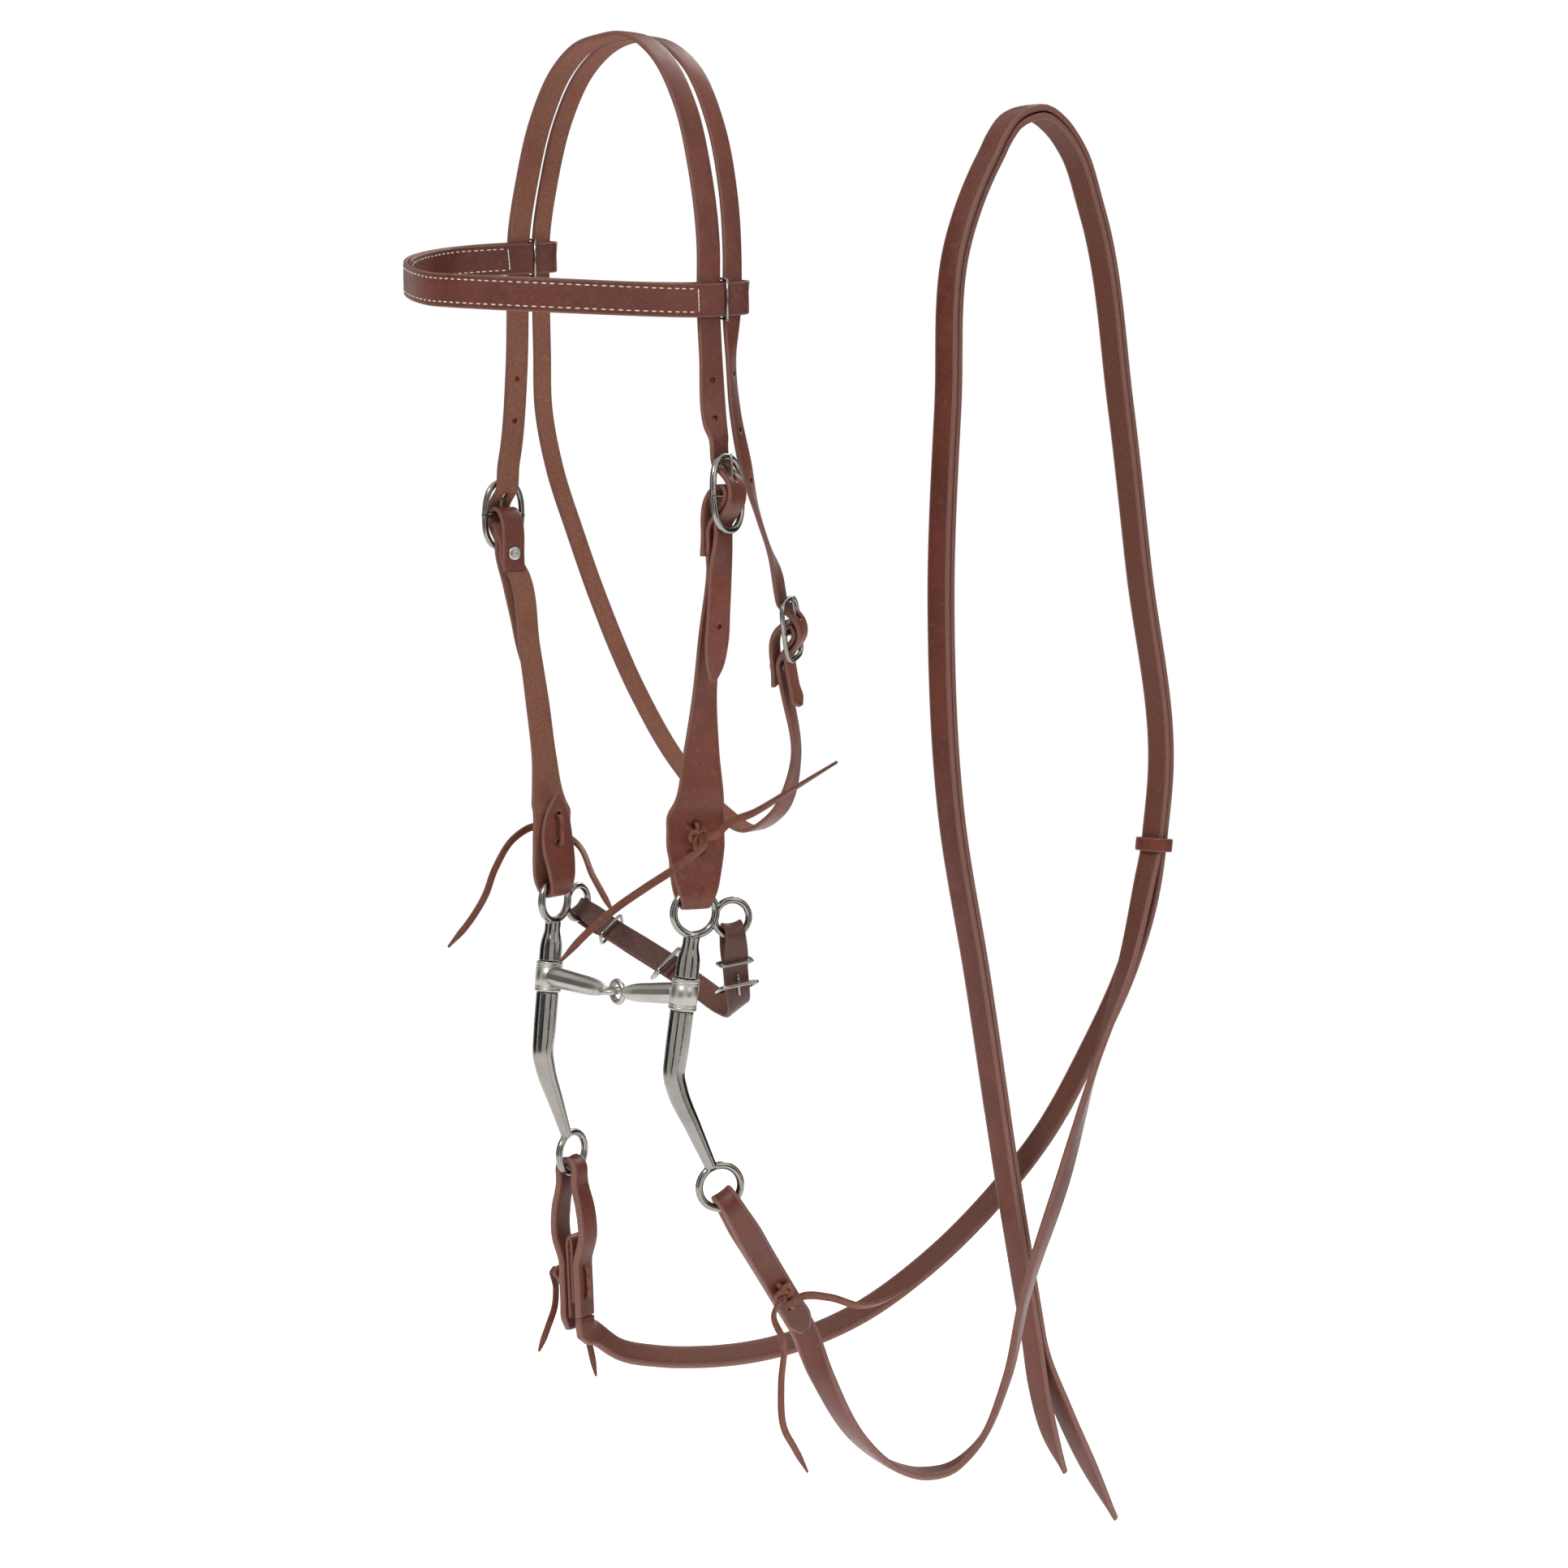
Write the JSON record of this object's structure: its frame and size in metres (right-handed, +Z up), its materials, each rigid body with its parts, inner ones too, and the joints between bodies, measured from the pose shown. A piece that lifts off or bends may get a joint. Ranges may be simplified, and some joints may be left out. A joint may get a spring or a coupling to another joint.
{
  "type": "bridle",
  "caption": "Leather headstall bridle with browband, buckled cheekpieces and throatlatch, jointed bit on swivel shanks, curb strap and two split reins with a keeper",
  "frame": {"origin": "on the underside of the crown strap at the poll, the highest point that rests on the horse", "axes": "+X to the horse's left, -Y to its front, +Z up, as the bridle hangs on a level head"},
  "size_m": [0.2588, 0.5932, 1.0179],
  "materials": {
    "bridle_leather": "chestnut bridle leather, smooth grain side, paler fuzzy flesh side",
    "rein_leather": "thick chestnut harness leather with rounded edges",
    "lace_leather": "dark brown leather lace",
    "nickel": "polished nickel plate, lightly worn",
    "satin_steel": "satin steel"
  },
  "bodies": {
    "headstall": {"crown_strap": "bridle_leather", "throatlatch_strap": "bridle_leather", "throatlatch_buckle": "nickel", "throatlatch_rivet": "satin_steel", "left_cheekpiece": "bridle_leather", "right_cheekpiece": "bridle_leather", "left_cheek_buckle": "nickel", "right_cheek_buckle": "nickel", "left_cheek_rivet": "satin_steel", "right_cheek_rivet": "satin_steel", "left_cheek_lace_tie": "lace_leather", "right_cheek_lace_tie": "lace_leather", "left_cheek_lace_front": "lace_leather", "left_cheek_lace_rear": "lace_leather", "right_cheek_lace_front": "lace_leather", "right_cheek_lace_rear": "lace_leather", "left_rein": "rein_leather", "right_rein": "rein_leather"},
    "browband_body": {"browband": "bridle_leather", "left_browband_staple": "nickel", "right_browband_staple": "nickel"},
    "left_cheek_tongue": {"left_cheek_buckle_tongue": "nickel"},
    "right_cheek_tongue": {"right_cheek_buckle_tongue": "nickel"},
    "throatlatch_tongue": {"throatlatch_buckle_tongue": "nickel"},
    "left_shank_body": {"left_shank": "nickel", "left_rein_end": "rein_leather", "left_rein_lace_tie": "lace_leather", "left_rein_lace_rear": "lace_leather", "left_rein_lace_low": "lace_leather"},
    "right_shank_body": {"right_shank": "nickel", "right_rein_end": "rein_leather", "right_rein_tab": "rein_leather", "right_rein_lace_tie": "lace_leather", "right_rein_lace_front": "lace_leather", "right_rein_lace_rear": "lace_leather"},
    "left_mouth": {"left_mouthpiece": "satin_steel"},
    "right_mouth": {"right_mouthpiece": "satin_steel"},
    "curb": {"curb_strap": "bridle_leather", "left_curb_buckle": "nickel", "right_curb_buckle": "nickel", "left_curb_buckle_tongue": "nickel", "right_curb_buckle_tongue": "nickel", "left_curb_keeper": "nickel", "right_curb_keeper": "nickel"},
    "rein_keeper_body": {"rein_keeper": "rein_leather"}
  },
  "joints": [
    {"name": "left_bit_pitch", "type": "hinge", "parent": "headstall", "child": "left_shank_body", "pos_m": [0.076, 0, -0.51696], "axis": [0.9978, 0, 0.0662], "range_deg": [-8, 25], "deforming": ["left_rein"]},
    {"name": "right_bit_pitch", "type": "hinge", "parent": "headstall", "child": "right_shank_body", "pos_m": [-0.076, 0, -0.52704], "axis": [0.9978, 0, 0.0662], "range_deg": [-8, 25], "deforming": ["right_rein"]},
    {"name": "left_mouth_fold", "type": "hinge", "parent": "left_shank_body", "child": "left_mouth", "pos_m": [0.07389, -0.00649, -0.56549], "axis": [0.043, 0.1324, 0.9903], "range_deg": [-7, 7]},
    {"name": "right_mouth_fold", "type": "hinge", "parent": "right_shank_body", "child": "right_mouth", "pos_m": [-0.07389, -0.00649, -0.57556], "axis": [-0.043, 0.1324, 0.9903], "range_deg": [-7, 7]},
    {"name": "curb_strap_swing", "type": "hinge", "parent": "left_shank_body", "child": "curb", "pos_m": [0.08318, 0.02209, -0.52124], "axis": [0.9982, 0, 0.0604], "range_deg": [0, 20]},
    {"name": "browband_slide", "type": "slide", "parent": "headstall", "child": "browband_body", "axis": [0, 0, 1], "range_m": [-0.003, 0.003]},
    {"name": "left_cheek_tongue_hinge", "type": "hinge", "parent": "headstall", "child": "left_cheek_tongue", "pos_m": [0.12, -0.008, -0.269], "axis": [0.29, -0.957, 0], "range_deg": [-3, 0]},
    {"name": "right_cheek_tongue_hinge", "type": "hinge", "parent": "headstall", "child": "right_cheek_tongue", "pos_m": [-0.12, -0.008, -0.282], "axis": [0.02, 0.9998, 0], "range_deg": [-3, 0]},
    {"name": "throatlatch_tongue_hinge", "type": "hinge", "parent": "headstall", "child": "throatlatch_tongue", "pos_m": [0.084, 0.067, -0.35], "axis": [0.44, -0.887, -0.14], "range_deg": [-3, 0]},
    {"name": "keeper_slide", "type": "slide", "parent": "headstall", "child": "rein_keeper_body", "axis": [0, 0.11, 0.9939], "range_m": [-0.012, 0.012]}
  ],
  "couplings": [
    {"joint": "right_bit_pitch", "follows": "left_bit_pitch", "ratio": 1},
    {"joint": "right_mouth_fold", "follows": "left_mouth_fold", "ratio": -1}
  ]
}
